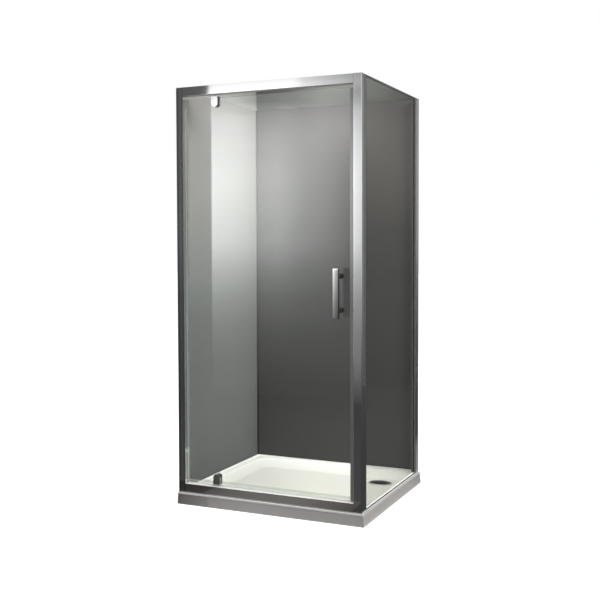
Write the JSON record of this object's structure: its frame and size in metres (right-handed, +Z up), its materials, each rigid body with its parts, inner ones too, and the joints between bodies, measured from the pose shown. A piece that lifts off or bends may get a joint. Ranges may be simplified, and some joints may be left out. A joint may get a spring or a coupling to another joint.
{
  "type": "shower cabin",
  "caption": "Square shower cabin with a framed offset-pivot glass door, a fixed glass return panel, two wall panels, a flat roof panel and a low tray with a sunken waste.",
  "frame": {"origin": "on the floor, at the middle of the frame's plan, which is 900 mm wide and 800 mm deep", "axes": "+Z up, -Y out through the door, +X out through the fixed glass return panel"},
  "size_m": [0.914, 0.8474, 1.904],
  "materials": {
    "acrylic": "glossy ivory-white acrylic",
    "tray_core": "rigid foam",
    "apron_metal": "warm grey satin metallic lacquer",
    "left_wall": "mid grey satin laminate",
    "back_wall": "dark grey satin laminate",
    "polished_aluminium": "bright polished anodised",
    "clear_glass": "clear toughened glass, polished edges",
    "clear_seal": "translucent clear vinyl",
    "dark_rubber": "black rubber",
    "dark_chrome": "dark polished chrome",
    "satin_steel": "satin stainless steel",
    "black_plastic": "black moulded plastic",
    "nylon": "natural nylon"
  },
  "bodies": {
    "cabin": {"back_wall_panel": "back_wall", "corner_post": "polished_aluminium", "front_apron": "apron_metal", "header": "polished_aluminium", "header_bush": "nylon", "jamb_cap": "satin_steel", "jamb_port_screw_1": "satin_steel", "jamb_port_screw_2": "satin_steel", "left_jamb": "polished_aluminium", "left_wall_channel": "polished_aluminium", "left_wall_panel": "left_wall", "post_cap": "satin_steel", "post_magnet_strip": "dark_rubber", "post_port_screw_1": "satin_steel", "post_port_screw_2": "satin_steel", "rear_corner_profile": "satin_steel", "return_foot_strip": "clear_seal", "return_front_channel": "polished_aluminium", "return_front_gasket": "dark_rubber", "return_glass": "clear_glass", "return_wall_channel": "polished_aluminium", "return_wall_gasket": "dark_rubber", "roof_panel": "back_wall", "side_apron": "apron_metal", "sill": "polished_aluminium", "sill_bush": "nylon", "tray_core": "tray_core", "tray_shell": "acrylic", "wall_foot_gasket": "dark_rubber", "waste_flange": "dark_chrome", "waste_gasket": "dark_rubber", "waste_nut": "black_plastic"},
    "door": {"bottom_clamp_gasket": "black_plastic", "bottom_clamp_inner": "dark_chrome", "bottom_clamp_outer": "dark_chrome", "bottom_clamp_screw_1": "satin_steel", "bottom_clamp_screw_2": "satin_steel", "bottom_pivot_pin": "satin_steel", "door_bottom_seal_left": "clear_seal", "door_bottom_seal_right": "clear_seal", "door_glass": "clear_glass", "door_hinge_seal": "clear_seal", "door_magnet_strip": "clear_seal", "handle_bar": "satin_steel", "handle_bush_1": "nylon", "handle_bush_2": "nylon", "handle_screw_1": "satin_steel", "handle_screw_2": "satin_steel", "handle_standoff_1": "dark_chrome", "handle_standoff_2": "dark_chrome", "handle_washer_1": "black_plastic", "handle_washer_2": "black_plastic", "top_clamp_gasket": "black_plastic", "top_clamp_inner": "dark_chrome", "top_clamp_outer": "dark_chrome", "top_clamp_screw_1": "satin_steel", "top_clamp_screw_2": "satin_steel", "top_pivot_pin": "satin_steel"},
    "waste_cover": {"waste_cover": "dark_chrome"}
  },
  "joints": [
    {"name": "door_swing", "type": "hinge", "parent": "cabin", "child": "door", "pos_m": [-0.2555, -0.38, 0], "axis": [0, 0, -1], "range_deg": [0, 90]},
    {"name": "cover_lift", "type": "slide", "parent": "cabin", "child": "waste_cover", "axis": [0, 0, 1], "range_m": [0, 0.03]}
  ]
}
